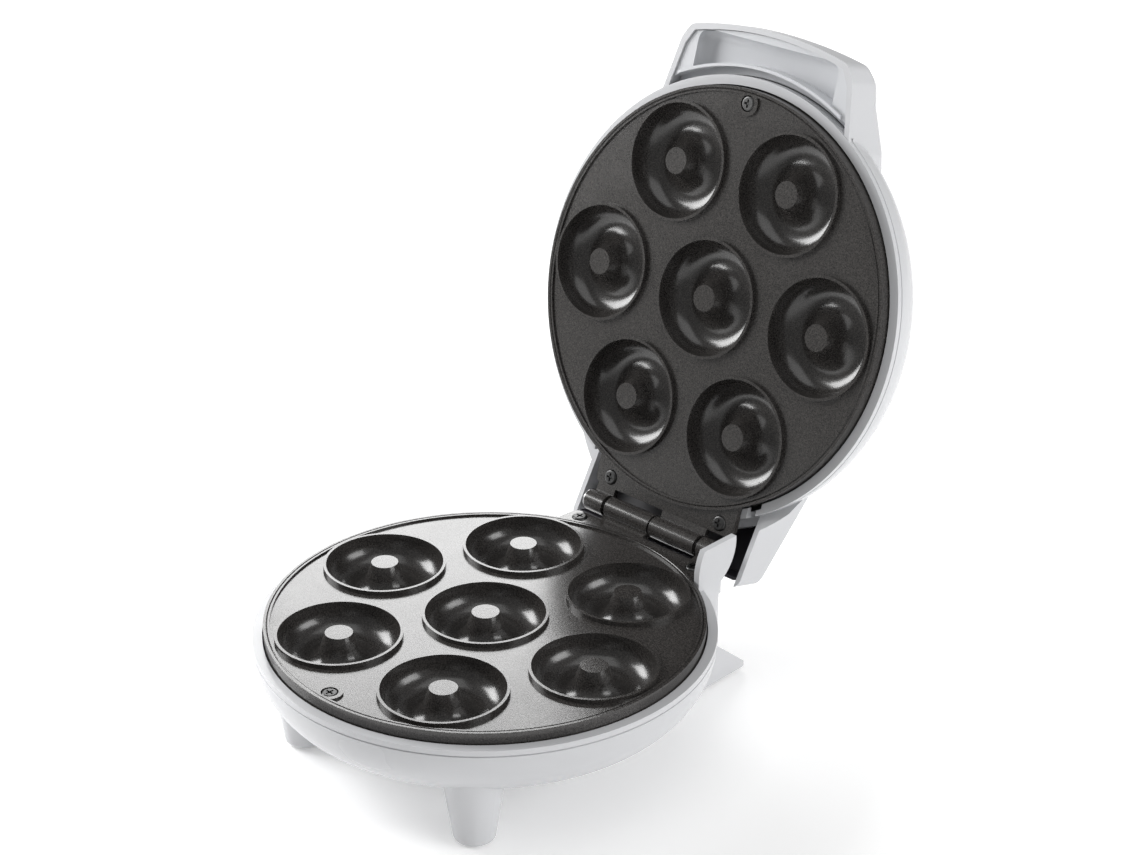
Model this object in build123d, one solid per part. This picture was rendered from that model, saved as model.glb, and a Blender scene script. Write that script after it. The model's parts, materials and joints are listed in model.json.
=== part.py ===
from build123d import *
from math import asin, atan2, cos, degrees, hypot, pi, radians, sin, sqrt, tan
import os

# Seven-hole donut maker: a lower and an upper cast baking plate, each screwed into a
# white plastic housing, joined by a knuckle hinge at the back.
# Working frame: X to the right, Y to the back, Z up, with the plate centre on the Z axis
# and the parting plane (the plane through the hinge axis, midway between the closed
# plates) at z = 0. The lid is modelled closed, then turned open about the hinge.

# ---------------------------------------------------------------- driving dimensions
parting_height = 63.8          # parting plane above the floor
open_angle = 106.2             # how far the lid leans back on its stop
plate_gap = 0.6                # between facing mould rims when the lid is shut

# baking plates
plate_margin = 3.8             # between the outer moulds and the plate's edge
plate_thickness = 2.6
rim_width = 2.8                # raised bead round the plate
rim_drop = 1.1                 # bead top below the mould rims
face_drop = 2.0                # plate face below the mould rims
skirt_depth = 9.0              # skirt's lower edge below the mould rims
skirt_width = 2.4
rim_groove_inset = 1.54        # from the plate's edge
rim_groove_width = 0.7
rim_groove_depth = 0.6

# donut moulds
mould_count = 6                # round the centre mould
mould_wall_radius = 26.9
mould_gap = 9.6                # between neighbouring mould rims
mould_rim_width = 1.3
mould_wall_depth = 3.4         # upright part of the wall
post_flank_angle = 71.14       # degrees above the level, of the post's side
mould_shell = 2.2
post_radius = 6.2

# hinge
hinge_setback = 13.5           # axis behind the plate's edge
barrel_radius = 5.25
barrel_length = 27.5           # the two middle knuckles, one on each plate
barrel_gap = 1.0               # between the two middle knuckles
lug_length = 11.0              # the outer knuckles
lug_gap = 2.0                  # between a middle knuckle and the outer one
pin_radius = 2.5
pin_clearance = 0.05
pin_overhang = 3.2
pin_chamfer = 0.4
clip_thickness = 1.0
clip_gap = 0.3                 # between a clip and the outer knuckle
clip_radius = 4.4
flange_thickness = 3.0
flange_drop = 3.2              # flange top below the parting plane
flange_overlap = 13.7          # of the flange and the plate
flange_reach = 5.5             # behind the plate's edge
flange_half_width = 43.0
flange_corner = 4.0
web_length = 6.0               # of a knuckle's web along the flange

# housings
wall = 2.5
housing_margin = 5.0           # outside the plate's edge
housing_gap = 0.6              # round the plate's skirt
housing_top_drop = 6.4         # housing edge below the mould rims
band_height = 3.0
band_groove = 0.8
bowl_arc_radius = 29.0
bowl_slope = 33.0              # degrees, below the round shoulder
bowl_depth = 48.0              # flat of the bowl below the mould rims
bowl_foot_radius = 14.0
lip_overlap = 0.5              # of the lip and the wall behind it

# neck of the base, its cheek and the rear stand
neck_half_width = 49.5
neck_reach = 7.0               # behind the plate's edge
neck_length = 50.0
neck_bottom = 41.5             # below the parting plane
neck_corner = 6.0
cheek_thickness = 3.0
cheek_top = 13.1               # above the parting plane
cheek_reach = 0.9              # behind the hinge axis
cheek_clearance = 0.6          # from the upper plate's swinging edge
cheek_foot_inset = 2.6         # of the cheek's back foot from the neck's back
cheek_hollow_y = 3.0           # of the curved back edge's middle
cheek_hollow_z = 1.2
cheek_root = 6.0               # sunk in the housing
stand_half_width = 47.0
stand_reach = 19.2             # behind the neck
stand_length = 66.2
stand_edge = 3.0               # height of the stand's back edge
stand_edge_radius = 1.0
stand_overlap = 0.5            # of the stand and the neck above it
stand_crest_inset = 3.0        # of the wedge's crest from the neck's back
stand_lean = 10.0              # of the stand's front face, towards the front

# feet
leg_inset = 21.2               # of a leg's axis from the housing's edge
leg_angle = 48.22              # degrees from the X axis to the front
leg_tip_radius = 9.0
leg_root_radius = 14.2
leg_root_rise = 20.3           # above the bowl's flat
leg_tip_rounding = 2.5
leg_tip_wall = 4.0
foot_pad_radius = 6.0
foot_pad_sunk = 1.4
foot_pad_rounding = 0.4
foot_post_wall = 1.5           # round a rear pad
foot_post_height = 14.0
front_pad_proud = 0.8
rear_pad_proud = 1.5
rear_pad_x = 39.5
rear_pad_inset = 7.7           # from the stand's back edge

# tail of the lid
tail_half_width = 53.0
tail_reach = 13.1              # behind the hinge axis
tail_length = 62.6
tail_edge = 2.0                # lower edge at the back, above the parting plane
tail_edge_slope = 14.0         # degrees, rising to the front
tail_top_back = 17.0
tail_top_slope = 30.5          # degrees
tail_corner = 5.0
flare_length = 27.0            # of the blend between the tail's side and the bowl
flare_side_width = 6.6         # outside the tail, half way along
flare_end_width = 15.8         # where it runs out on the bowl
flare_reach = 8.0              # outside the bowl
flare_edge_z = 8.0
flare_top_z = 27.0
flare_top_inset = 14.0
notch_clearance = 1.3          # over the cheek, under the lid's edge
notch_side_gap = 0.7           # beside the neck
partition_gap = 4.0            # outside the lid's bowl
partition_height = 10.0
stop_clearance = 0.15
stop_x = 24.0
stop_width = 8.0
stop_depth = 3.0
liner_clearance = 0.4
liner_thickness = 1.6
liner_edge_lift = 2.5          # liner's edge inside the tail's

# handle
handle_half_root = 56.0
handle_half_tip = 50.0
handle_reach = 22.0            # in front of the housing
handle_bow = 5.5               # of the handle's front edge
handle_corner_width = 4.0      # of the bevel between side and front
handle_corner_length = 7.0
handle_corner_radius = 6.0
handle_bottom = 7.0
handle_length = 65.0           # from the tip to inside the lid's bowl
handle_side_length = 43.0      # from the tip to where the sides run straight back
handle_top_root = 37.0
handle_top_tip = 26.5
handle_fall_end = 13.5         # from the tip to where the top reaches that height
handle_edge_radius = 5.0
handle_crest_inset = 22.5      # from the tip to where the top starts to round down
handle_tip_height = 7.0
handle_tip_bulge = 3.6
grip_clearance = 0.25
grip_recess = 1.2              # grip face above the handle's lower edge
grip_height = 10.0
grip_lip_gap = 5.2             # between the housing and the lip's outer face
grip_lip_width = 1.4
grip_lip_height = 1.8
grip_channel_depth = 5.0
grip_length = 39.0
grip_lip_length = 33.0
grip_lip_inset = 2.0           # of the lip's ends from the grip's sides
scoop_depth = 7.0
scoop_half_width = 41.0
scoop_border = 3.2
scoop_corner = 6.0
scoop_rounding = 5.0

# heaters
heater_tube_radius = 3.2
heater_opening = 50.0          # degrees, between the two ends of the ring
heater_end_drop = 6.0
heater_bend_radius = 6.0
heater_contact_gap = 0.05
terminal_radius = 1.5
terminal_length = 7.0
boss_gap = 2.0                 # between the heater tube and a boss
boss_radius = 3.8
boss_height = 5.4
boss_hole_end = 1.5            # of solid metal between a boss hole and the plate's face
clamp_width = 7.0
clamp_thickness = 1.2
clamp_clearance = 0.3
clamp_hook = 3.0               # of the hoop past the tube's middle

# heat shields
shield_inset = 8.0             # from the plate's edge
shield_thickness = 0.8
shield_depth = 22.0            # below the parting plane
shield_rim = 4.0
shield_end_hole = 4.5          # radius, round a heater end
shield_pillar_gap = 1.0
spacer_bore_clearance = 0.15
spacer_wall = 1.3

# screws
plate_screw_radius = 2.0
plate_screw_head = 3.6
plate_screw_head_height = 1.6
plate_screw_length = 11.6
small_screw_radius = 1.4
small_screw_head = 2.8
small_screw_head_height = 1.4
screw_head_round = 0.6         # times the head's height
screw_slot_length = 1.1        # times the head's radius
screw_slot_width = 0.26
screw_clearance = 0.05
head_clearance = 0.2
front_head_sunk = 0.1          # head below the rim bead
rear_head_sunk = 0.8           # head's seat below the flange
front_screw_inset = 6.5        # from the plate's edge
front_boss_radius = 5.8
rear_screw_reach = 0.5         # behind the plate's edge
lower_rear_screw_x = 36.0
upper_rear_screw_x = 34.2
pillar_radius = 3.8
pillar_gap = 0.1
pillar_hole_depth = 14.0
pillar_sunk = 1.0              # of a pillar in the wall that it stands on

# electrical pieces
gland_z = -27.0
gland_radius = 5.5
gland_bore = 3.6
gland_flange = 8.0
gland_length = 9.0
gland_rim = 2.0                # thickness of the flange on each side of the wall
gland_nose_root = 0.6
gland_nose_wall = 1.2
terminal_block_size = (24.0, 12.0, 11.0)
terminal_block_inset = 21.0    # from the neck's back
terminal_hole_rise = 4.95      # wire holes above the block's foot
terminal_screw_radius = 2.1
terminal_screw_height = 1.6
terminal_screw_sunk = 3.0
lead_radius = 1.2
lead_bend_radius = 2.5
lead_clearance = 0.3
lead_end_run = 14.0
lead_loop_height = 6.0
lens_x = 9.0
lens_inset = 47.0              # from the housing's edge
lens_radius = 3.4
lens_flange = 4.4
lens_proud = 0.9
lens_rounding = 0.6
lamp_radius = 2.6
lamp_length = 11.0
lamp_gap = 0.3                 # lamp behind its lens
thermostat_radius = 8.0
thermostat_height = 5.0
thermostat_gap = 0.05
thermostat_hole_gap = 1.5
thermostat_tab = (3.0, 0.8, 6.0)
thermostat_tab_x = 4.0
thermostat_step = 2.0
fuse_radius = 1.9
fuse_length = 14.0
fuse_y = 14.0
fuse_clip_thickness = 0.6
fuse_clip_clearance = 0.1
fuse_clip_width = 6.0
fuse_clip_half_span = 7.0
fuse_wire_radius = 0.6
fuse_wire_length = 8.0
lead_spread = 8.0
lead_drop_gap = 4.0            # behind the heat shield's edge
lead_exit_gap = 8.0            # before the hinge axis
lead_exit_gap_z = 0.7          # between a lead and the plate's skirt

# cutting solids
over = 1.0                     # how far one passes the face that it cuts
far = 150.0                    # beyond every piece

# ---------------------------------------------------------------- derived positions
mould_top = -plate_gap / 2
mould_rim_radius = mould_wall_radius + mould_rim_width
mould_pitch_radius = 2 * mould_rim_radius + mould_gap
plate_radius = mould_pitch_radius + mould_rim_radius + plate_margin
post_flank = radians(post_flank_angle)
mould_width = mould_wall_radius - post_radius
mould_arc_radius = mould_width * sin(post_flank) - mould_wall_depth * cos(post_flank)
mould_arc_radius = mould_arc_radius / (1 + sin(post_flank))   # tangent to the wall and the flank
hinge_y = plate_radius + hinge_setback
flange_front = plate_radius - flange_overlap
flange_back = plate_radius + flange_reach
housing_radius = plate_radius + housing_margin
neck_back = plate_radius + neck_reach
neck_front = neck_back - neck_length
cheek_back = hinge_y + cheek_reach
stand_back = neck_back + stand_reach
stand_front = stand_back - stand_length
rear_pad_y = stand_back - rear_pad_inset
leg_x = (housing_radius - leg_inset) * cos(radians(leg_angle))
leg_y = -(housing_radius - leg_inset) * sin(radians(leg_angle))
tail_back = hinge_y + tail_reach
tail_front = tail_back - tail_length
notch_top = cheek_top + notch_clearance
partition_radius = housing_radius + partition_gap
handle_front = housing_radius + handle_reach
handle_corner_y = handle_front - handle_bow
handle_start_y = handle_front - handle_length
handle_root_y = handle_front - handle_side_length
handle_tip_y = handle_front - handle_fall_end
handle_crest_y = handle_front - handle_crest_inset
grip_lip_radius = housing_radius + grip_lip_gap
grip_back_y = handle_front - grip_length
grip_lip_back_y = handle_front - grip_lip_length
heater_ring_radius = mould_pitch_radius / 2
boss_ring_radius = heater_ring_radius + heater_tube_radius + boss_gap + boss_radius
shield_radius = plate_radius - shield_inset
front_screw_y = -(plate_radius - front_screw_inset)
rear_screw_y = plate_radius + rear_screw_reach
terminal_block_y = neck_back - terminal_block_inset
lens_y = -(housing_radius - lens_inset)
thermostat_y = -(mould_wall_radius - mould_arc_radius)
face_z = mould_top - face_drop
under_z = face_z - plate_thickness
rim_z = mould_top - rim_drop
skirt_z = mould_top - skirt_depth
housing_z = mould_top - housing_top_drop
bowl_z = mould_top - bowl_depth
leg_root_z = bowl_z + leg_root_rise
rim_inner = plate_radius - rim_width
housing_opening = plate_radius + housing_gap
lead_exit_z = -skirt_z + lead_radius + lead_exit_gap_z
bowl_inner_radius = housing_radius - wall
middle_inner = barrel_gap / 2
middle_outer = middle_inner + barrel_length
lug_inner = middle_outer + lug_gap
lug_outer = lug_inner + lug_length
heater_z = under_z - heater_contact_gap - heater_tube_radius
heater_low_z = heater_z - heater_bend_radius - heater_end_drop - terminal_length
shell_bottom = mould_top - mould_wall_depth - mould_arc_radius - mould_shell
floor_z = -parting_height
neck_floor_z = -neck_bottom + wall
flange_under_z = -flange_drop - flange_thickness
boss_seat_z = under_z - boss_height
screw_hole = small_screw_radius + screw_clearance
plate_screw_hole = plate_screw_radius + screw_clearance


def mould_places():
    ring = [
        (mould_pitch_radius * cos(radians(a)), mould_pitch_radius * sin(radians(a)))
        for a in range(0, 360, 360 // mould_count)
    ]
    return [(0.0, 0.0)] + ring


# ---------------------------------------------------------------- shape helpers
def spun(edges):
    """Solid of revolution about Z from a closed outline in the radius-height plane."""
    return revolve(Plane.XZ * make_face(edges), axis=Axis.Z)


def spun_polygon(points):
    return spun([Polyline(*points, close=True)])


def side_prism(points, half_width, centre_x=0.0):
    """Prism along X from an outline in the Y-Z plane."""
    face = make_face([Polyline(*points, close=True)])
    solid = extrude(Plane.YZ * face, amount=half_width, both=True)
    return Pos(centre_x, 0, 0) * solid


def block(x0, x1, y0, y1, z0, z1):
    size = Box(x1 - x0, y1 - y0, z1 - z0)
    return Pos((x0 + x1) / 2, (y0 + y1) / 2, (z0 + z1) / 2) * size


def rod(radius, x, y, z0, z1):
    """Upright cylinder between two heights."""
    return Pos(x, y, (z0 + z1) / 2) * Cylinder(radius, z1 - z0)


def rod_along_x(radius, x0, x1, y=hinge_y, z=0.0):
    return Pos((x0 + x1) / 2, y, z) * Rot(0, 90, 0) * Cylinder(radius, x1 - x0)


def rod_along_y(radius, x, y0, y1, z):
    return Pos(x, (y0 + y1) / 2, z) * Rot(90, 0, 0) * Cylinder(radius, y1 - y0)


def union(shapes):
    total = shapes[0]
    for shape in shapes[1:]:
        total = total + shape
    return total


def flipped(shape):
    """Mirror in the parting plane, from the lower half to the upper half."""
    return mirror(shape, about=Plane.XY)


def screw(x, y, seat_z, shank, head, head_height, length):
    """Pan-head cross-recess screw driven downwards, its head on seat_z."""
    body = rod(head, x, y, seat_z, seat_z + head_height)
    body = fillet(body.edges().group_by(Axis.Z)[-1], head_height * screw_head_round)
    slot = Box(head * screw_slot_length, head * screw_slot_width, head_height)
    recess = Pos(x, y, seat_z + head_height) * (slot + Rot(0, 0, 90) * slot)
    return body - recess + rod(shank, x, y, seat_z - length, seat_z)


def plate_screw(x, y, seat_z, length):
    return screw(x, y, seat_z, plate_screw_radius, plate_screw_head, plate_screw_head_height, length)


def small_screw(x, y, seat_z, length):
    return screw(x, y, seat_z, small_screw_radius, small_screw_head, small_screw_head_height, length)


def polar(radius, angle):
    return radius * cos(radians(angle)), radius * sin(radians(angle))


# ---------------------------------------------------------------- baking plates
def mould_region(offset, post_z, top_z):
    """Region of revolution over the ring-shaped cavity, or over its shell when offset.

    Its outline falls from the post's edge along the flank, rounds the bottom in one arc
    and rises along the upright wall.
    """
    centre = (mould_wall_radius - mould_arc_radius, mould_top - mould_wall_depth)
    radius = mould_arc_radius + offset
    start_angle = -pi / 2 - post_flank
    start = (centre[0] + radius * cos(start_angle), centre[1] + radius * sin(start_angle))
    shoulder = (start[0] - (post_z - start[1]) / tan(post_flank), post_z)
    low_angle = start_angle / 2
    low = (centre[0] + radius * cos(low_angle), centre[1] + radius * sin(low_angle))
    end = (centre[0] + radius, centre[1])
    return spun([
        Polyline((0, top_z), (0, post_z), shoulder, start),
        ThreePointArc(start, low, end),
        Polyline(end, (end[0], top_z), (0, top_z)),
    ])


def plate_disc():
    disc = spun_polygon([
        (0, face_z), (rim_inner, face_z), (rim_inner, rim_z), (plate_radius, rim_z),
        (plate_radius, skirt_z), (plate_radius - skirt_width, skirt_z),
        (plate_radius - skirt_width, under_z), (0, under_z),
    ])
    boss = rod(front_boss_radius, 0, front_screw_y, under_z, rim_z)
    disc = disc + (boss & rod(plate_radius, 0, 0, skirt_z, rim_z))
    middle = plate_radius - rim_groove_inset
    inner = middle - rim_groove_width / 2
    outer = middle + rim_groove_width / 2
    flank_z = rim_z - rim_groove_depth / 2
    groove = spun_polygon([
        (inner, rim_z + over), (inner, flank_z), (middle, rim_z - rim_groove_depth),
        (outer, flank_z), (outer, rim_z + over),
    ])
    kept = rod(plate_screw_head + rim_groove_width, 0, front_screw_y, under_z, rim_z + over)
    return disc - (groove - kept)


def knuckle(x0, x1):
    """Hinge barrel on the axis with the web that ties it to the flange."""
    web = side_prism([
        (flange_back - web_length, -flange_drop), (flange_back, -flange_drop),
        (hinge_y, -barrel_radius * 0.3), (hinge_y, -barrel_radius),
        (flange_back - web_length, flange_under_z),
    ], (x1 - x0) / 2, (x0 + x1) / 2)
    return rod_along_x(barrel_radius, x0, x1) + web


def plate(knuckles, rear_screw_x, pin_hole):
    """Cast plate in the lower position, with its moulds, rear flange and knuckles."""
    places = mould_places()
    body = plate_disc()
    shell = mould_region(mould_shell, under_z, face_z)
    rim = rod(mould_rim_radius, 0, 0, face_z - over, mould_top)
    cavity = mould_region(0, mould_top, mould_top + over)
    for x, y in places:
        body = body + Pos(x, y, 0) * shell + Pos(x, y, 0) * rim
    for x, y in places:
        body = body - Pos(x, y, 0) * cavity
    flange = block(-flange_half_width, flange_half_width, flange_front, flange_back,
                   flange_under_z, -flange_drop)
    flange = fillet(flange.edges().filter_by(Axis.Z).group_by(Axis.Y)[-1], flange_corner)
    flange = flange - rod(rim_inner, 0, 0, -far, far)
    body = body + flange + union([knuckle(a, b) for a, b in knuckles])
    for k in range(mould_count):
        x, y = polar(boss_ring_radius, 30 + 60 * k)
        body = body + rod(boss_radius, x, y, boss_seat_z, face_z - over / 2)
        body = body - rod(screw_hole, x, y, boss_seat_z - over, face_z - boss_hole_end)
    body = body - rod_along_x(pin_hole, -lug_outer - over, lug_outer + over)
    for x, y, seat in screw_seats(rear_screw_x):
        body = body - rod(plate_screw_hole, x, y, skirt_z - over, 0)
        body = body - rod(plate_screw_head + head_clearance, x, y, seat, 0)
    return body


def screw_seats(rear_screw_x):
    """The front screw's and the two rear screws' places, with the height of their seats."""
    front = (0.0, front_screw_y, rim_z - plate_screw_head_height - front_head_sunk)
    rear_z = -flange_drop - rear_head_sunk
    return [front, (-rear_screw_x, rear_screw_y, rear_z), (rear_screw_x, rear_screw_y, rear_z)]


def plate_screws(rear_screw_x):
    return [plate_screw(x, y, seat, plate_screw_length) for x, y, seat in screw_seats(rear_screw_x)]


# ---------------------------------------------------------------- housings
def bowl_outline(inset):
    """Bowl section: upright band, round shoulder, straight slope and flat floor."""
    top = (housing_radius - inset, housing_z)
    shoulder = (housing_radius - inset, housing_z - band_height)
    centre = (housing_radius - bowl_arc_radius, shoulder[1])
    radius = bowl_arc_radius - inset
    end_angle = radians(90 - bowl_slope)
    mid = (centre[0] + radius * cos(end_angle / 2), centre[1] - radius * sin(end_angle / 2))
    end = (centre[0] + radius * cos(end_angle), centre[1] - radius * sin(end_angle))
    floor = bowl_z + inset
    foot = (end[0] - (end[1] - floor) / tan(radians(bowl_slope)), floor)
    return top, shoulder, mid, end, foot


def bowl_solid(inset, top_z):
    top, shoulder, mid, end, foot = bowl_outline(inset)
    solid = spun([
        Polyline((0, top_z), (top[0], top_z), shoulder),
        ThreePointArc(shoulder, mid, end),
        Polyline(end, foot, (0, foot[1]), (0, top_z)),
    ])
    corner = solid.edges().filter_by(GeomType.CIRCLE).group_by(Axis.Z)[0]
    return fillet(corner, bowl_foot_radius)


def band_groove_ring():
    z = housing_z - band_height
    return spun_polygon([
        (housing_radius - band_groove, z), (housing_radius + over, z + band_groove),
        (housing_radius + over, z - band_groove),
    ])


def lip():
    """Inward edge of the housing that closes the gap round the plate."""
    return spun_polygon([
        (housing_opening, housing_z), (bowl_inner_radius + lip_overlap, housing_z),
        (bowl_inner_radius + lip_overlap, housing_z - wall), (housing_opening, housing_z - wall),
    ])


def pillar_places(rear_screw_x):
    """Places of the screw pillars that carry a plate, with the height of each pillar's top."""
    front = (0.0, front_screw_y, under_z - pillar_gap)
    rear = [(s * rear_screw_x, rear_screw_y, flange_under_z - pillar_gap) for s in (-1, 1)]
    return [front] + rear


def cheek_profile():
    front = hinge_y - sqrt(plate_radius ** 2 - (neck_half_width - cheek_thickness) ** 2)
    reach = hypot(front, -rim_z) - cheek_clearance
    top_angle = asin(cheek_top / reach)
    arc_start = (hinge_y - reach, housing_z)
    arc_top = (hinge_y - reach * cos(top_angle), cheek_top)
    arc_mid = (hinge_y - reach * cos(top_angle / 2), reach * sin(top_angle / 2))
    foot = (neck_back - cheek_foot_inset, housing_z)
    hollow = ((foot[0] + cheek_back) / 2 + cheek_hollow_y, (foot[1] + cheek_top) / 2 - cheek_hollow_z)
    root_z = housing_z - cheek_root
    return [
        Polyline((arc_start[0], root_z), arc_start, (hinge_y - reach, 0)),
        ThreePointArc((hinge_y - reach, 0), arc_mid, arc_top),
        Line(arc_top, (cheek_back, cheek_top)),
        ThreePointArc((cheek_back, cheek_top), hollow, foot),
        Polyline(foot, (foot[0], root_z), (arc_start[0], root_z)),
    ]


def cheek():
    """Side plate that stands beside the hinge on the right."""
    face = make_face(cheek_profile())
    solid = extrude(Plane.YZ * face, amount=cheek_thickness / 2, both=True)
    return Pos(neck_half_width - cheek_thickness / 2, 0, 0) * solid


def stand_profile(inset, bottom):
    """Side outline of the rear stand: a wedge that falls to a thin edge behind the neck."""
    back = stand_back - inset
    edge_z = floor_z + rear_pad_proud + stand_edge - inset / 2
    top_z = -neck_bottom + stand_overlap - inset
    return [
        (stand_front + inset, bottom), (back, bottom), (back, edge_z),
        (neck_back - stand_crest_inset - inset / 2, top_z), (stand_front - stand_lean + inset, top_z),
    ]


def neck_outer():
    solid = block(-neck_half_width, neck_half_width, neck_front, neck_back, -neck_bottom, housing_z)
    corners = solid.edges().filter_by(Axis.Z).group_by(Axis.Y)[-1]
    return fillet(corners, neck_corner)


def neck_inner():
    solid = block(-neck_half_width + wall, neck_half_width - wall, neck_front - wall, neck_back - wall,
                  neck_floor_z, housing_z + over)
    corners = solid.edges().filter_by(Axis.Z).group_by(Axis.Y)[-1]
    return fillet(corners, neck_corner - wall)


def leg(side):
    """Tapered front leg with a rounded tip, and the core that makes it hollow."""
    height = leg_root_z - (floor_z + front_pad_proud)
    outer = Pos(side * leg_x, leg_y, leg_root_z - height / 2) * Cone(leg_tip_radius, leg_root_radius, height)
    outer = fillet(outer.edges().group_by(Axis.Z)[0], leg_tip_rounding)
    core_height = height - leg_tip_wall
    core = Cone(leg_tip_radius - wall, leg_root_radius - wall, core_height)
    core = Pos(side * leg_x, leg_y, leg_root_z - core_height / 2) * core
    return outer, core


def stop_block(x):
    """Block on the back of the neck where the lid's tail comes to rest."""
    turn = radians(open_angle)
    corners = []
    for reach in (tail_back - wall - hinge_y, tail_back - hinge_y):
        y = hinge_y + reach * cos(turn) + tail_edge * sin(turn) - stop_clearance * sin(turn)
        z = -reach * sin(turn) + tail_edge * cos(turn) - stop_clearance * cos(turn)
        corners.append((y, z))
    (y0, z0), (y1, z1) = corners
    root_y = neck_back - wall / 2
    return side_prism([(root_y, z0), (y0, z0), (y1, z1), (root_y, z1 - stop_depth)], stop_width / 2, x)


def foot_recesses():
    """Seats of the four rubber pads."""
    rear_z = floor_z + rear_pad_proud
    front_z = floor_z + front_pad_proud
    places = [(s * rear_pad_x, rear_pad_y, rear_z) for s in (-1, 1)]
    places += [(s * leg_x, leg_y, front_z) for s in (-1, 1)]
    return union([rod(foot_pad_radius, x, y, z - over, z + foot_pad_sunk) for x, y, z in places])


def rear_foot_posts():
    """Posts inside the stand, one over each rear pad."""
    low = floor_z + rear_pad_proud
    radius = foot_pad_radius + foot_post_wall
    posts = [rod(radius, s * rear_pad_x, rear_pad_y, low, low + foot_post_height) for s in (-1, 1)]
    return union(posts) & side_prism(stand_profile(0, low), stand_half_width)


def base_pillars():
    """Screw pillars of the lower plate, and their holes."""
    pillars = []
    holes = []
    for x, y, top in pillar_places(lower_rear_screw_x):
        room = bowl_solid(pillar_sunk, 0) if y < 0 else neck_room()
        pillars.append(rod(pillar_radius, x, y, bowl_z - over, top) & room)
        holes.append(rod(plate_screw_hole, x, y, top - pillar_hole_depth, top + over))
    return union(pillars), union(holes)


def base_housing():
    """Bowl with its neck, cheek, legs and rear stand, moulded in one piece."""
    bowl = bowl_solid(0, housing_z)
    stand = side_prism(stand_profile(0, floor_z + rear_pad_proud), stand_half_width)
    stand = fillet(stand.edges().filter_by(Axis.X).sort_by(Axis.Y)[-2:], stand_edge_radius)
    stand_room = side_prism(stand_profile(wall, floor_z - over), stand_half_width - wall)
    legs = [leg(s) for s in (-1, 1)]
    body = bowl + neck_outer() + stand - stand_room + bowl
    body = body + union([outer for outer, core in legs])
    body = body - bowl_solid(wall, housing_z + over) - neck_inner()
    body = body - union([core for outer, core in legs])
    body = body + (lip() - neck_inner()) - (band_groove_ring() - neck_outer())
    body = body + (cheek() - rod(housing_opening, 0, 0, -far, far))
    pillars, holes = base_pillars()
    body = body + rear_foot_posts() - foot_recesses() + pillars - holes
    body = body + union([stop_block(s * stop_x) for s in (-1, 1)])
    hole_radius = gland_radius + screw_clearance
    return body - rod_along_y(hole_radius, 0, neck_back - wall - over, neck_back + over, gland_z)


def neck_room():
    """The neck's inside, grown into its walls, which a pillar may fill."""
    side = neck_half_width - pillar_sunk
    return block(-side, side, neck_front, neck_back - pillar_sunk, -neck_bottom + pillar_sunk, 0)


def tail_profile(inset, bottom_inset):
    """Side outline of the lid's tail, closed."""
    back = tail_back - inset
    slope = tan(radians(tail_top_slope))
    drop = inset / cos(radians(tail_top_slope))
    top_z = -bowl_z - inset
    top_back = tail_top_back - drop + inset * slope
    top_front = back - (top_z - top_back) / slope
    rise = tan(radians(tail_edge_slope))
    edge = tail_edge - bottom_inset
    return [
        (tail_front, edge + (tail_back - tail_front) * rise), (back, edge + inset * rise),
        (back, top_back), (top_front, top_z), (tail_front, top_z),
    ]


def tail_outer():
    solid = side_prism(tail_profile(0, 0), tail_half_width)
    corners = solid.edges().filter_by(Axis.Z).group_by(Axis.Y)[-1]
    return fillet(corners, tail_corner)


def tail_flares():
    """Hollow-curved blends between the tail's sides and the lid's bowl."""
    start = (tail_half_width, sqrt(housing_radius ** 2 - tail_half_width ** 2) + flare_length)
    end_x = tail_half_width + flare_end_width
    end = (end_x, sqrt(housing_radius ** 2 - end_x ** 2))
    mid = (tail_half_width + flare_side_width, (start[1] + end[1]) / 2)
    face = make_face([
        ThreePointArc(start, mid, end),
        Polyline(end, (0, end[1]), (0, start[1]), start),
    ])
    flare = extrude(face, amount=far) & side_prism(tail_profile(0, 0), far)
    edge = housing_radius + flare_reach
    top = housing_radius - flare_top_inset
    outline = [(0, 0), (edge, 0), (edge, flare_edge_z), (top, flare_top_z), (0, flare_top_z)]
    flare = flare & spun_polygon(outline)
    return flare + mirror(flare, about=Plane.YZ)


def tail_inner():
    solid = side_prism(tail_profile(wall, tail_edge + over), tail_half_width - wall)
    corners = solid.edges().filter_by(Axis.Z).group_by(Axis.Y)[-1]
    return fillet(corners, tail_corner - wall)


def handle_plan(inset):
    """Handle seen from above: straight sides that close in to the tip, and a bowed front."""
    root = handle_half_root - inset
    tip = handle_half_tip - inset
    front = tip - handle_corner_width
    corner_y = -handle_corner_y + inset
    side_y = corner_y + handle_corner_length
    return make_face([
        Polyline((-front, corner_y), (-tip, side_y), (-root, -handle_root_y), (-root, -handle_start_y),
                 (root, -handle_start_y), (root, -handle_root_y), (tip, side_y), (front, corner_y)),
        ThreePointArc((front, corner_y), (0, -handle_front + inset), (-front, corner_y)),
    ])


def handle_section(inset, bottom):
    """Side outline of the handle, closed: a falling top that rounds down to the tip."""
    slope = (handle_top_root - handle_top_tip) / (handle_tip_y - handle_root_y)
    top = handle_top_root - inset
    crest = (-handle_crest_y, top - (handle_crest_y - handle_root_y) * slope)
    tip = (-handle_front - over + inset, handle_bottom + handle_tip_height)
    mid = ((crest[0] + tip[0]) / 2 - handle_tip_bulge, (crest[1] + tip[1]) / 2 + handle_tip_bulge)
    inner = (-handle_start_y, top + (handle_root_y - handle_start_y) * slope)
    return [
        Polyline((-handle_start_y, bottom), (tip[0], bottom), tip),
        ThreePointArc(tip, mid, crest),
        Polyline(crest, inner, (-handle_start_y, bottom)),
    ]


def handle_solid(inset, bottom):
    plan = extrude(handle_plan(inset), amount=handle_top_root * 2)
    face = make_face(handle_section(inset, bottom))
    return plan & extrude(Plane.YZ * face, amount=handle_half_root + over, both=True)


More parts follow.
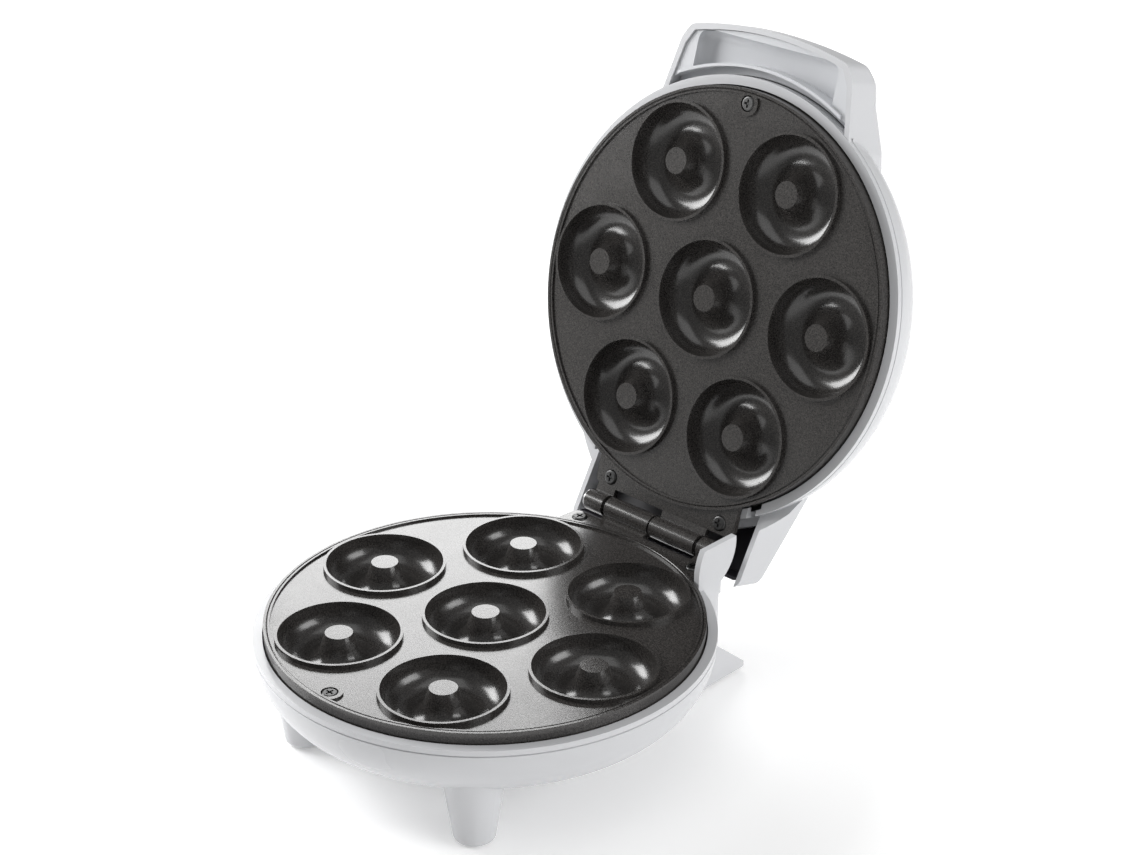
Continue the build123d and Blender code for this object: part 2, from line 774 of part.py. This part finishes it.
def handle_outer():
    """Handle with rounded corners and a rounded top edge."""
    solid = handle_solid(0, handle_bottom)
    corner_y = -handle_corner_y + handle_corner_length + over
    upright = [e for e in solid.edges().filter_by(Axis.Z) if e.center().Y < corner_y]
    solid = fillet(upright, handle_corner_radius)
    rounded = [e for e in solid.edges() if is_handle_top_edge(e)]
    return fillet(rounded, handle_edge_radius)


def is_handle_top_edge(edge):
    """Edges round the handle's top, apart from the crest line and the end inside the lid."""
    place = edge.center()
    crest = edge.geom_type == GeomType.LINE and abs(place.X) < 1
    return place.Z > handle_bottom + 3 and place.Y < -handle_start_y - over and edge.length > 1 and not crest


def lid_bowl(inset, top_z):
    return flipped(bowl_solid(inset, top_z))


def tail_partition():
    """Curved inner wall that closes the lid's bowl off from its tail."""
    side = tail_half_width - wall
    ring = spun_polygon([
        (bowl_inner_radius - lip_overlap, 0), (partition_radius, 0),
        (partition_radius, far), (bowl_inner_radius - lip_overlap, far),
    ])
    return block(-side, side, tail_front, far, notch_top, notch_top + partition_height) & ring


def lid_pillars():
    """Screw pillars of the upper plate, and their holes."""
    pillars = []
    holes = []
    for x, y, top in pillar_places(upper_rear_screw_x):
        room = lid_bowl(pillar_sunk, 0)
        if y > 0:
            room = room + side_prism(tail_profile(pillar_sunk, 0), tail_half_width - pillar_sunk)
        pillars.append(rod(pillar_radius, x, y, -top, -bowl_z + over) & room)
        holes.append(rod(plate_screw_hole, x, y, -top - over, -top + pillar_hole_depth))
    return union(pillars), union(holes)


def notch_wall():
    """Short curved walls of the lid between its rear pillars and its notch."""
    inner = neck_half_width - cheek_thickness - notch_side_gap
    ring = spun_polygon([
        (bowl_inner_radius, -housing_z), (housing_radius, -housing_z),
        (housing_radius, notch_top + over), (bowl_inner_radius, notch_top + over),
    ])
    ring = ring + flipped(lip())
    walls = [block(min(s * inner, s * upper_rear_screw_x), max(s * inner, s * upper_rear_screw_x),
                   0, far, 0, far) for s in (-1, 1)]
    return ring & union(walls)


def lid_housing():
    """Upside-down bowl with its handle and the tail that covers the hinge."""
    bowl = lid_bowl(0, housing_z)
    body = bowl + tail_outer() + tail_flares() + handle_outer()
    body = body - lid_bowl(wall, housing_z + over)
    body = body - (tail_inner() - bowl)
    body = body - (handle_solid(wall, handle_bottom - over) - bowl)
    side = tail_half_width - wall
    body = body - block(-side, side, tail_front, far, 0, notch_top) + tail_partition()
    tail_end = block(-tail_half_width, tail_half_width, 0, far, 0, far)
    body = body + (flipped(lip()) - tail_end) + notch_wall() - flipped(band_groove_ring() - neck_outer())
    pillars, holes = lid_pillars()
    body = body + pillars - holes
    for s in (-1, 1):
        lens_bottom = -bowl_z - wall - over
        body = body - rod(lens_radius + screw_clearance, s * lens_x, lens_y, lens_bottom, -bowl_z + over)
    return body


# ---------------------------------------------------------------- lid trim
def grip():
    """Scooped underside of the handle with a raised lip and a channel by the lid's rim."""
    inset = wall + grip_clearance
    bottom = handle_bottom + grip_recess
    lip_inner = grip_lip_radius - grip_lip_width
    body = handle_solid(inset, bottom) & block(-far, far, -far, -grip_back_y, bottom, bottom + grip_height)
    body = body - rod(housing_radius + grip_clearance, 0, 0, 0, far)
    body = body - rod(lip_inner, 0, 0, 0, bottom + grip_channel_depth)
    body = body - (scoop(inset, bottom) - rod(grip_lip_radius, 0, 0, 0, far))
    lip_low = bottom - grip_lip_height
    lip_ring = rod(grip_lip_radius, 0, 0, lip_low, bottom + over) - rod(lip_inner, 0, 0, 0, far)
    span = handle_solid(inset + grip_lip_inset, lip_low) & block(-far, far, -far, -grip_lip_back_y, 0, far)
    return body + (lip_ring & span)


def scoop(inset, bottom):
    """Finger hollow in the grip, with rounded corners and a rounded bottom."""
    front = -handle_front + inset + scoop_border
    hollow = block(-scoop_half_width, scoop_half_width, front, -grip_back_y - over,
                   bottom - scoop_depth, bottom + scoop_depth)
    hollow = fillet(hollow.edges().filter_by(Axis.Z), scoop_corner)
    return fillet(hollow.edges().group_by(Axis.Z)[-1], scoop_rounding)


def tail_liner():
    """Black cover over the wires inside the lid's tail."""
    gap = wall + liner_clearance
    sheet = side_prism(tail_profile(gap, 0), tail_half_width - gap)
    corners = sheet.edges().filter_by(Axis.Z).group_by(Axis.Y)[-1]
    sheet = fillet(corners, tail_corner - wall)
    sheet = sheet - side_prism(tail_profile(gap + liner_thickness, tail_edge + over), tail_half_width)
    sheet = sheet - rod(partition_radius + liner_clearance, 0, 0, 0, far)
    sheet = sheet - block(-far, far, 0, far, -over, tail_edge + liner_edge_lift)
    for s in (-1, 1):
        x = s * upper_rear_screw_x
        sheet = sheet - rod(pillar_radius + liner_clearance, x, rear_screw_y, 0, far)
    return sheet


def lens(x):
    """Round lens pressed through the lid's top, with a flat rounded cap."""
    top = -bowl_z
    body = rod(lens_radius, x, lens_y, top - wall - lamp_gap, top)
    cap = rod(lens_flange, x, lens_y, top, top + lens_proud)
    return body + fillet(cap.edges().group_by(Axis.Z)[-1], lens_rounding)


def lamp(x):
    top = -bowl_z - wall - 2 * lamp_gap
    return rod(lamp_radius, x, lens_y, top - lamp_length, top)


# ---------------------------------------------------------------- plate equipment
def heater():
    """Tubular element: an open ring with its two ends turned down."""
    half = heater_opening / 2
    start = 90 + half
    a0 = Vector(*polar(heater_ring_radius, start), heater_z)
    a1 = Vector(*polar(heater_ring_radius, start + 360 - heater_opening), heater_z)
    mid = Vector(*polar(heater_ring_radius, start + (360 - heater_opening) / 2), heater_z)
    ring = ThreePointArc(a0, mid, a1)
    pieces = [sweep(Plane(origin=a0, z_dir=ring % 0) * Circle(heater_tube_radius), path=ring)]
    for point, along in ((a0, -1 * (ring % 0)), (a1, ring % 1)):
        bend_centre = point + Vector(0, 0, -heater_bend_radius)
        end = bend_centre + along * heater_bend_radius
        middle = bend_centre + (along * sin(pi / 4) + Vector(0, 0, sin(pi / 4))) * heater_bend_radius
        bend = ThreePointArc(point, middle, end)
        pieces.append(sweep(Plane(origin=point, z_dir=along) * Circle(heater_tube_radius), path=bend))
        low = end.Z - heater_end_drop
        pieces.append(rod(heater_tube_radius, end.X, end.Y, low, end.Z))
        pieces.append(rod(terminal_radius, end.X, end.Y, low - terminal_length, low))
    return union(pieces)


def heater_end_places():
    half = heater_opening / 2
    reach = hypot(heater_ring_radius, heater_bend_radius)
    turn = degrees(atan2(heater_bend_radius, heater_ring_radius))
    return [polar(reach, 90 + s * (half - turn)) for s in (1, -1)]


def clamp_angles():
    return (30, 150, 270)


def shield_angles():
    return (90, 210, 330)


def clamps():
    """Sheet-metal straps from each boss over the heater tube."""
    solids = []
    low = boss_seat_z - clamp_thickness
    inner = heater_tube_radius + clamp_clearance
    outer = inner + clamp_thickness
    half = clamp_width / 2
    for angle in clamp_angles():
        hoop = rod_along_y(outer, heater_ring_radius, -half, half, heater_z)
        hoop = hoop & block(heater_ring_radius - clamp_hook, far, -half, half, -far, heater_z)
        foot = block(heater_ring_radius, boss_ring_radius + boss_radius, -half, half, low, boss_seat_z)
        strap = hoop + foot
        strap = strap - rod_along_y(inner, heater_ring_radius, -clamp_width, clamp_width, heater_z)
        strap = strap - rod(screw_hole, boss_ring_radius, 0, -far, 0)
        solids.append(Rot(0, 0, angle) * strap)
    return solids


def clamp_screws():
    solids = []
    for angle in clamp_angles():
        x, y = polar(boss_ring_radius, angle)
        solids.append(upside_down_screw(x, y, boss_seat_z - clamp_thickness, boss_height))
    return solids


def upside_down_screw(x, y, seat, length):
    """Screw driven upwards, its head under seat."""
    return Pos(x, y, seat) * Rot(180, 0, 0) * small_screw(0, 0, 0, length)


def shield(holes):
    """Aluminium heat shield under the moulds, with a turned-up edge and extra (x, y, radius) holes."""
    z = -shield_depth
    inner = shield_radius - shield_thickness
    dish = spun_polygon([
        (0, z), (shield_radius, z), (shield_radius, z + shield_rim), (inner, z + shield_rim),
        (inner, z + shield_thickness), (0, z + shield_thickness),
    ])
    cuts = [(x, y, shield_end_hole) for x, y in heater_end_places()]
    cuts += [(*polar(boss_ring_radius, angle), screw_hole) for angle in shield_angles()]
    cuts += [(0, front_screw_y, pillar_radius + shield_pillar_gap)] + holes
    for x, y, radius in cuts:
        dish = dish - rod(radius, x, y, z - over, z + shield_rim + over)
    return dish


def spacers():
    solids = []
    bore = small_screw_radius + spacer_bore_clearance
    for angle in shield_angles():
        x, y = polar(boss_ring_radius, angle)
        tube = rod(bore + spacer_wall, x, y, -shield_depth + shield_thickness, boss_seat_z)
        solids.append(tube - rod(bore, x, y, -far, 0))
    return solids


def shield_screws():
    length = shield_depth + boss_seat_z + boss_height - boss_hole_end
    return [upside_down_screw(*polar(boss_ring_radius, a), -shield_depth, length) for a in shield_angles()]


# ---------------------------------------------------------------- base pieces
def hinge_pin():
    end = lug_outer + pin_overhang
    body = rod_along_x(pin_radius, -end, end)
    return chamfer(body.edges().filter_by(GeomType.CIRCLE), pin_chamfer)


def pin_clips():
    solids = []
    for s in (-1, 1):
        x = s * (lug_outer + clip_gap + clip_thickness / 2)
        ring = rod_along_x(clip_radius, x - clip_thickness / 2, x + clip_thickness / 2)
        solids.append(ring - rod_along_x(pin_radius, x - clip_thickness, x + clip_thickness))
    return solids


def front_foot_pads():
    return [foot_pad(s * leg_x, leg_y, front_pad_proud) for s in (-1, 1)]


def rear_foot_pads():
    return [foot_pad(s * rear_pad_x, rear_pad_y, rear_pad_proud) for s in (-1, 1)]


def foot_pad(x, y, proud):
    pad = rod(foot_pad_radius - screw_clearance, x, y, floor_z, floor_z + proud + foot_pad_sunk)
    return fillet(pad.edges().group_by(Axis.Z)[0], foot_pad_rounding)


def cord_gland():
    """Rubber bush in the back of the neck where the mains lead would pass."""
    inside = neck_back - wall
    body = rod_along_y(gland_radius, 0, inside - gland_rim, neck_back + gland_rim, gland_z)
    body = body + rod_along_y(gland_flange, 0, neck_back, neck_back + gland_rim, gland_z)
    body = body + rod_along_y(gland_flange, 0, inside - gland_rim, inside, gland_z)
    nose = Cone(gland_radius + gland_nose_root, gland_bore + gland_nose_wall, gland_length)
    nose = Pos(0, neck_back + gland_length / 2, gland_z) * Rot(-90, 0, 0) * nose
    return body + nose - rod_along_y(gland_bore, 0, 0, far, gland_z)


def terminal_xs():
    return [k * terminal_block_size[0] / 3 for k in (-1, 0, 1)]


def terminal_block():
    """Three-way block on the neck's floor, with a wire hole and a screw pocket in each way."""
    sx, sy, sz = terminal_block_size
    top = neck_floor_z + sz
    hole_z = neck_floor_z + terminal_hole_rise
    body = Pos(0, terminal_block_y, neck_floor_z + sz / 2) * Box(sx, sy, sz)
    for x in terminal_xs():
        body = body - rod_along_y(lead_radius + lead_clearance, x, 0, far, hole_z)
        body = body - rod(terminal_screw_radius + 2 * screw_clearance, x, terminal_block_y,
                          top - terminal_screw_sunk, top + over)
    return body


def terminal_screws():
    """Slotted screws in the terminal block's pockets."""
    low = neck_floor_z + terminal_block_size[2] - terminal_screw_sunk
    high = low + terminal_screw_height
    slot = Box(terminal_screw_radius * 3, terminal_screw_radius / 3, terminal_screw_height)
    heads = [rod(terminal_screw_radius, x, terminal_block_y, low, high) for x in terminal_xs()]
    return [head - Pos(x, terminal_block_y, high) * slot for head, x in zip(heads, terminal_xs())]


def lead(points):
    """Insulated wire along straight runs with rounded corners."""
    path = FilletPolyline(*points, radius=lead_bend_radius)
    return sweep(Plane(origin=path @ 0, z_dir=path % 0) * Circle(lead_radius), path=path)


def lower_leads():
    """Insulated leads from the heater's terminals to the terminal block."""
    solids = []
    hole_z = neck_floor_z + terminal_hole_rise
    end_y = terminal_block_y - terminal_block_size[1] / 2
    for (x, y), end_x in zip(heater_end_places(), (terminal_xs()[0], terminal_xs()[2])):
        solids.append(lead([
            (x, y, heater_low_z), (x, y, hole_z),
            (end_x, end_y - lead_end_run, hole_z), (end_x, end_y, hole_z),
        ]))
    return solids


# ---------------------------------------------------------------- lid equipment
def thermostat():
    """Disc thermostat seated under the round bottom of the centre mould, with its two tabs."""
    top = shell_bottom - thermostat_gap
    low = top - thermostat_height
    body = rod(thermostat_radius, 0, thermostat_y, low, top)
    step = rod(thermostat_radius * 0.7, 0, thermostat_y, low - thermostat_step, low)
    tab_z = low - thermostat_step - thermostat_tab[2] / 2
    tabs = [Pos(s * thermostat_tab_x, thermostat_y, tab_z) * Box(*thermostat_tab) for s in (-1, 1)]
    return flipped(body + step + union(tabs))


def thermal_fuse():
    """Sleeved thermal fuse lying on the back of the upper heat shield."""
    z = shield_depth + fuse_clip_thickness + fuse_radius
    body = rod_along_x(fuse_radius, -fuse_length / 2, fuse_length / 2, fuse_y, z)
    reach = fuse_length / 2 + fuse_wire_length
    return body + rod_along_x(fuse_wire_radius, -reach, reach, fuse_y, z)


def fuse_clip():
    """Saddle that holds the fuse on the shield."""
    z = shield_depth + fuse_clip_thickness + fuse_radius
    half = fuse_clip_width / 2
    back, front = fuse_y - fuse_clip_half_span, fuse_y + fuse_clip_half_span
    inner = fuse_radius + fuse_clip_clearance
    hoop = rod_along_x(inner + fuse_clip_thickness, -half, half, fuse_y, z)
    hoop = hoop & block(-half, half, back, front, shield_depth, far)
    foot = block(-half, half, back, front, shield_depth, shield_depth + fuse_clip_thickness)
    return hoop + foot - rod_along_x(inner, -far, far, fuse_y, z)


def upper_leads():
    """Insulated leads from the upper heater to the back of the lid, as far as the hinge."""
    solids = []
    start_z = -heater_low_z
    loop_z = start_z + lead_loop_height
    drop_y = shield_radius + lead_drop_gap
    for (x, y), s in zip(heater_end_places(), (-1, 1)):
        end_x = s * lead_spread
        solids.append(lead([
            (x, y, start_z), (x, y, loop_z), (end_x, drop_y - 2 * lead_loop_height, loop_z),
            (end_x, drop_y, start_z - lead_loop_height), (end_x, drop_y + 1, lead_exit_z),
            (end_x, hinge_y - lead_exit_gap, lead_exit_z),
        ]))
    return solids


def build_nodes():
    """All pieces by node name, those of the base first and then those of the lid."""
    thermostat_hole = (0.0, thermostat_y, thermostat_radius + thermostat_hole_gap)
    nodes_base = {
        "base_housing": base_housing(),
        "front_foot_pads": front_foot_pads(),
        "rear_foot_pads": rear_foot_pads(),
        "lower_plate": plate([(-middle_outer, -middle_inner), (lug_inner, lug_outer)],
                             lower_rear_screw_x, pin_radius),
        "lower_plate_screws": plate_screws(lower_rear_screw_x),
        "lower_heater": heater(),
        "lower_heater_clamps": clamps(),
        "lower_clamp_screws": clamp_screws(),
        "lower_heat_shield": shield([]),
        "lower_shield_spacers": spacers(),
        "lower_shield_screws": shield_screws(),
        "hinge_pin": hinge_pin(),
        "hinge_pin_clips": pin_clips(),
        "cord_gland": cord_gland(),
        "terminal_block": terminal_block(),
        "terminal_screws": terminal_screws(),
        "lower_leads": lower_leads(),
    }
    upper_knuckles = [(middle_inner, middle_outer), (-lug_outer, -lug_inner)]
    nodes_lid = {
        "lid_housing": lid_housing(),
        "handle_grip": grip(),
        "tail_liner": tail_liner(),
        "upper_plate": flipped(plate(upper_knuckles, upper_rear_screw_x, pin_radius + pin_clearance)),
        "upper_plate_screws": [flipped(s) for s in plate_screws(upper_rear_screw_x)],
        "upper_heater": flipped(heater()),
        "upper_heater_clamps": [flipped(s) for s in clamps()],
        "upper_clamp_screws": [flipped(s) for s in clamp_screws()],
        "upper_heat_shield": flipped(shield([thermostat_hole])),
        "upper_shield_spacers": [flipped(s) for s in spacers()],
        "upper_shield_screws": [flipped(s) for s in shield_screws()],
        "power_light_lens": lens(-lens_x),
        "ready_light_lens": lens(lens_x),
        "indicator_lamps": [lamp(-lens_x), lamp(lens_x)],
        "thermostat": thermostat(),
        "thermal_fuse": thermal_fuse(),
        "fuse_clip": fuse_clip(),
        "upper_leads": upper_leads(),
    }
    return nodes_base, nodes_lid


def as_solids(shape):
    items = shape if isinstance(shape, list) else [shape]
    return [solid for item in items for solid in item.solids()]


def placed(solids, is_lid, shift_y):
    """Turn the lid open about the hinge and stand everything on the floor."""
    hinge = Pos(0, hinge_y, 0) * Rot(-open_angle, 0, 0) * Pos(0, -hinge_y, 0)
    stand = Pos(0, shift_y, parting_height)
    move = stand * hinge if is_lid else stand
    return [move * solid for solid in solids]


def main():
    nodes_base, nodes_lid = build_nodes()
    nodes = {name: (as_solids(shape), False) for name, shape in nodes_base.items()}
    nodes.update({name: (as_solids(shape), True) for name, shape in nodes_lid.items()})
    whole = Compound(children=[s for solids, lid in nodes.values() for s in placed(solids, lid, 0.0)])
    box = whole.bounding_box()
    shift_y = -(box.min.Y + box.max.Y) / 2
    os.makedirs("parts", exist_ok=True)
    for name, (solids, is_lid) in nodes.items():
        out = placed(solids, is_lid, shift_y)
        export_step(out[0] if len(out) == 1 else Compound(children=out), f"parts/{name}.step")
    print("shift_y", round(shift_y, 4), "size", box.size)
    print("hinge axis at y", round(hinge_y + shift_y, 4), "z", parting_height)


main()
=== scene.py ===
import json
import math

import bpy
from mathutils import Matrix, Vector


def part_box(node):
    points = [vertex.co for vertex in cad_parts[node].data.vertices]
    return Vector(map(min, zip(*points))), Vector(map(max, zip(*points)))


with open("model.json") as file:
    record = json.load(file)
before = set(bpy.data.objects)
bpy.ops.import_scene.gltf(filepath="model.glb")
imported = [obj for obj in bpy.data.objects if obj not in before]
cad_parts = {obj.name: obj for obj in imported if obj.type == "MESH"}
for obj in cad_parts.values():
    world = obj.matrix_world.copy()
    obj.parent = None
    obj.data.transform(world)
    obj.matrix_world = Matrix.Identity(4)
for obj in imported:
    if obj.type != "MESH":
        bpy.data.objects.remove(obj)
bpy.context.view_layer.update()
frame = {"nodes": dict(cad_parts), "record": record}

# ---------------------------------------------------------------- places from the frame
plate_low, plate_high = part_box("lower_plate")
plate_radius = (plate_high[0] - plate_low[0]) / 2
PLATE_Y = plate_low[1] + plate_radius                                # the plate's centre, front to back
PARTING_Z = frame["record"]["behaviour"]["joints"][0]["pos_m"][2]    # between the shut plates

# textures, in repeats per metre
FLOW_SCALE = 18             # slow unevenness of moulded plastic
SKIN_SCALE = 900            # fine skin of moulded plastic
COAT_GRAIN_SCALE = 1500     # sprayed grain of the non-stick coating
COAT_FLECK_SCALE = 3400     # its small light flecks
COAT_CLOUD_SCALE = 45       # its slow change of gloss
WEAR_SCALE = 60             # broad change of colour on the small pieces
FINISH_SCALE = 1500         # their fine surface

# bump depths, in metres
SKIN_DEPTH = 0.0002
COAT_DEPTH = 0.00012
FINISH_DEPTH = 0.0001

# how far roughness goes below and above its middle
PLASTIC_SPREAD = (0.05, 0.07)
FINISH_SPREAD = (0.06, 0.08)
SHADE = 0.7                 # the darker colour of a small piece, times its own colour


# ---------------------------------------------------------------- node helpers
def new_material(name):
    material = bpy.data.materials.new(name)
    material.use_nodes = True
    nodes = material.node_tree.nodes
    return material, nodes, material.node_tree.links, nodes["Principled BSDF"]


def object_coords(nodes):
    return nodes.new("ShaderNodeTexCoord").outputs["Object"]


def noise(nodes, links, vector, scale, detail=2.0, roughness=0.5):
    node = nodes.new("ShaderNodeTexNoise")
    node.inputs["Scale"].default_value = scale
    node.inputs["Detail"].default_value = detail
    node.inputs["Roughness"].default_value = roughness
    links.new(vector, node.inputs["Vector"])
    return node.outputs["Fac"]


def ramp(nodes, links, factor, low, high, stops=(0.0, 1.0)):
    node = nodes.new("ShaderNodeMapRange")
    node.inputs["From Min"].default_value = stops[0]
    node.inputs["From Max"].default_value = stops[1]
    node.inputs["To Min"].default_value = low
    node.inputs["To Max"].default_value = high
    links.new(factor, node.inputs["Value"])
    return node.outputs["Result"]


def mix_color(nodes, links, factor, first, second):
    """Mix two colours, each given as three numbers or as another node's output."""
    node = nodes.new("ShaderNodeMix")
    node.data_type = "RGBA"
    for socket, color in ((node.inputs["A"], first), (node.inputs["B"], second)):
        if isinstance(color, tuple):
            socket.default_value = (*color, 1)
        else:
            links.new(color, socket)
    links.new(factor, node.inputs["Factor"])
    return node.outputs["Result"]


def bump(nodes, links, height, strength, distance, bsdf):
    node = nodes.new("ShaderNodeBump")
    node.inputs["Strength"].default_value = strength
    node.inputs["Distance"].default_value = distance
    links.new(height, node.inputs["Height"])
    links.new(node.outputs["Normal"], bsdf.inputs["Normal"])


# ---------------------------------------------------------------- materials
def gloss_plastic(name, color, shade, roughness=0.24):
    """Smooth moulded plastic with a faint flow texture and slight unevenness of gloss."""
    material, nodes, links, bsdf = new_material(name)
    coords = object_coords(nodes)
    broad = noise(nodes, links, coords, FLOW_SCALE, 3)
    fine = noise(nodes, links, coords, SKIN_SCALE, 2)
    below, above = PLASTIC_SPREAD
    links.new(mix_color(nodes, links, broad, color, shade), bsdf.inputs["Base Color"])
    links.new(ramp(nodes, links, broad, roughness - below, roughness + above), bsdf.inputs["Roughness"])
    bump(nodes, links, fine, 0.05, SKIN_DEPTH, bsdf)
    return material


def nonstick():
    """Dark non-stick coating: sprayed grain in colour, gloss and surface over a cast plate."""
    material, nodes, links, bsdf = new_material("nonstick")
    coords = object_coords(nodes)
    grain = noise(nodes, links, coords, COAT_GRAIN_SCALE, 3, 0.65)
    fleck = noise(nodes, links, coords, COAT_FLECK_SCALE, 1)
    cloud = noise(nodes, links, coords, COAT_CLOUD_SCALE, 3)
    dark, worn, bright = (0.013, 0.012, 0.0115), (0.054, 0.050, 0.047), (0.13, 0.12, 0.115)
    grain_share = ramp(nodes, links, grain, 0, 1, (0.38, 0.64))
    fleck_share = ramp(nodes, links, fleck, 0, 0.5, (0.60, 0.72))
    coat = mix_color(nodes, links, grain_share, dark, worn)
    links.new(mix_color(nodes, links, fleck_share, coat, bright), bsdf.inputs["Base Color"])
    links.new(ramp(nodes, links, cloud, 0.17, 0.25), bsdf.inputs["Roughness"])
    bsdf.inputs["Specular IOR Level"].default_value = 0.7
    bump(nodes, links, grain, 0.16, COAT_DEPTH, bsdf)
    return material


def simple(name, color, roughness, metallic=0.0):
    """A small piece's finish: broad change of colour, and a fine surface."""
    material, nodes, links, bsdf = new_material(name)
    coords = object_coords(nodes)
    fine = noise(nodes, links, coords, FINISH_SCALE, 2)
    broad = noise(nodes, links, coords, WEAR_SCALE, 3)
    below, above = FINISH_SPREAD
    darker = tuple(c * SHADE for c in color)
    links.new(mix_color(nodes, links, broad, color, darker), bsdf.inputs["Base Color"])
    links.new(ramp(nodes, links, fine, roughness - below, roughness + above), bsdf.inputs["Roughness"])
    bsdf.inputs["Metallic"].default_value = metallic
    bump(nodes, links, fine, 0.2, FINISH_DEPTH, bsdf)
    return material


def assign(material, *names):
    for name in names:
        obj = frame["nodes"][name]
        obj.data.materials.clear()
        obj.data.materials.append(material)


housing = gloss_plastic("housing_white", (0.60, 0.605, 0.62), (0.56, 0.565, 0.58))
grip_plastic = gloss_plastic("grip_white", (0.60, 0.61, 0.63), (0.56, 0.57, 0.59), 0.30)
assign(housing, "base_housing", "lid_housing")
assign(grip_plastic, "handle_grip")
assign(nonstick(), "lower_plate", "upper_plate")
# The tail liner's black is painted shade: a dark sheet that stands in for the shade inside the tail's
# cavity.
assign(simple("liner_black", (0.022, 0.020, 0.026), 0.5), "tail_liner")
assign(simple("foot_rubber", (0.55, 0.55, 0.55), 0.7), "front_foot_pads", "rear_foot_pads")
assign(simple("gland_rubber", (0.02, 0.02, 0.02), 0.6), "cord_gland")
steel = simple("steel", (0.55, 0.55, 0.56), 0.3, 1.0)
assign(steel, "hinge_pin", "hinge_pin_clips", "lower_heater_clamps", "upper_heater_clamps",
       "lower_clamp_screws", "upper_clamp_screws", "lower_shield_screws", "upper_shield_screws",
       "lower_shield_spacers", "upper_shield_spacers", "fuse_clip")
assign(simple("dark_screw", (0.10, 0.10, 0.10), 0.35, 1.0), "lower_plate_screws", "upper_plate_screws")
assign(simple("heater_tube", (0.30, 0.28, 0.26), 0.4, 1.0), "lower_heater", "upper_heater")
assign(simple("shield_sheet", (0.75, 0.76, 0.77), 0.3, 1.0), "lower_heat_shield", "upper_heat_shield")
assign(simple("terminal_plastic", (0.10, 0.09, 0.09), 0.5), "terminal_block", "thermostat")
assign(simple("brass", (0.70, 0.52, 0.22), 0.3, 1.0), "terminal_screws")
assign(simple("lead_sleeve", (0.80, 0.78, 0.72), 0.7), "lower_leads", "upper_leads", "thermal_fuse")
assign(simple("red_lens", (0.60, 0.03, 0.02), 0.15), "power_light_lens")
assign(simple("green_lens", (0.04, 0.42, 0.10), 0.15), "ready_light_lens")
assign(simple("lamp_glass", (0.85, 0.6, 0.5), 0.1), "indicator_lamps")


# ---------------------------------------------------------------- camera, floor, light
PIXELS_WIDE = 1140          # of the picture that the focal length was worked out for
SENSOR = 36.0               # width in mm
FOCAL_PIXELS = 2489.27
AZIMUTH, ELEVATION, ROLL = math.radians(43.67), math.radians(25.55), math.radians(0.21)
DISTANCE = 1.2724
AIM = Vector((-0.10371, 0.16238, -0.0003))     # from the plate's centre at the parting plane
FLOOR_SIZE = 30
FLOOR_COLOR = (0.93, 0.93, 0.93)
FLOOR_GLOW = 0.20
SKY_STRENGTH = 0.26


def add_camera():
    """Look at the open object from the front right, a little from above."""
    back = Vector((math.sin(AZIMUTH) * math.cos(ELEVATION), -math.cos(AZIMUTH) * math.cos(ELEVATION),
                   math.sin(ELEVATION)))
    right = Vector((0, 0, 1)).cross(back).normalized()
    up = back.cross(right)
    rolled = math.cos(ROLL) * right + math.sin(ROLL) * up
    up = back.cross(rolled)
    place = Vector((0, PLATE_Y, PARTING_Z)) + AIM + back * DISTANCE
    data = bpy.data.cameras.new("camera")
    data.sensor_width = SENSOR
    data.lens = FOCAL_PIXELS / PIXELS_WIDE * SENSOR
    camera = bpy.data.objects.new("camera", data)
    bpy.context.collection.objects.link(camera)
    rotation = Matrix((rolled, up, back)).transposed().to_4x4()
    camera.matrix_world = Matrix.Translation(place) @ rotation
    bpy.context.scene.camera = camera


def add_floor():
    bpy.ops.mesh.primitive_plane_add(size=FLOOR_SIZE, location=(0, 0, 0))
    floor = bpy.context.object
    floor.name = "floor"
    material, nodes, links, bsdf = new_material("floor")
    bsdf.inputs["Base Color"].default_value = (*FLOOR_COLOR, 1)
    bsdf.inputs["Roughness"].default_value = 0.8
    bsdf.inputs["Emission Color"].default_value = (1, 1, 1, 1)
    bsdf.inputs["Emission Strength"].default_value = FLOOR_GLOW
    floor.data.materials.append(material)


def area_light(name, place, aim, width, height, power):
    data = bpy.data.lights.new(name, "AREA")
    data.energy = power
    data.shape = "RECTANGLE"
    data.size = width
    data.size_y = height
    light = bpy.data.objects.new(name, data)
    light.location = place
    light.rotation_euler = (Vector(aim) - Vector(place)).to_track_quat("-Z", "Y").to_euler()
    bpy.context.collection.objects.link(light)


def add_light():
    """Even sky, and four soft panels; the back one is what the lower plate reflects."""
    world = bpy.data.worlds.new("world")
    bpy.context.scene.world = world
    world.use_nodes = True
    background = world.node_tree.nodes["Background"]
    background.inputs["Color"].default_value = (1, 1, 1, 1)
    background.inputs["Strength"].default_value = SKY_STRENGTH
    area_light("back_panel", (-1.2, 1.2, 0.92), aim=(0, -0.05, 0.06), width=0.9, height=0.6, power=11.5)
    area_light("top_panel", (0.2, -0.3, 1.8), aim=(0, 0, 0.1), width=1.6, height=1.6, power=9)
    area_light("side_panel", (-1.05, -0.40, 0.60), aim=(0, 0.1, 0.2), width=0.7, height=0.7, power=16)
    area_light("right_panel", (1.4, 0.45, 0.6), aim=(0, 0.05, 0.2), width=0.9, height=0.9, power=13)


add_camera()
add_floor()
add_light()
bpy.context.scene.view_settings.view_transform = "Standard"
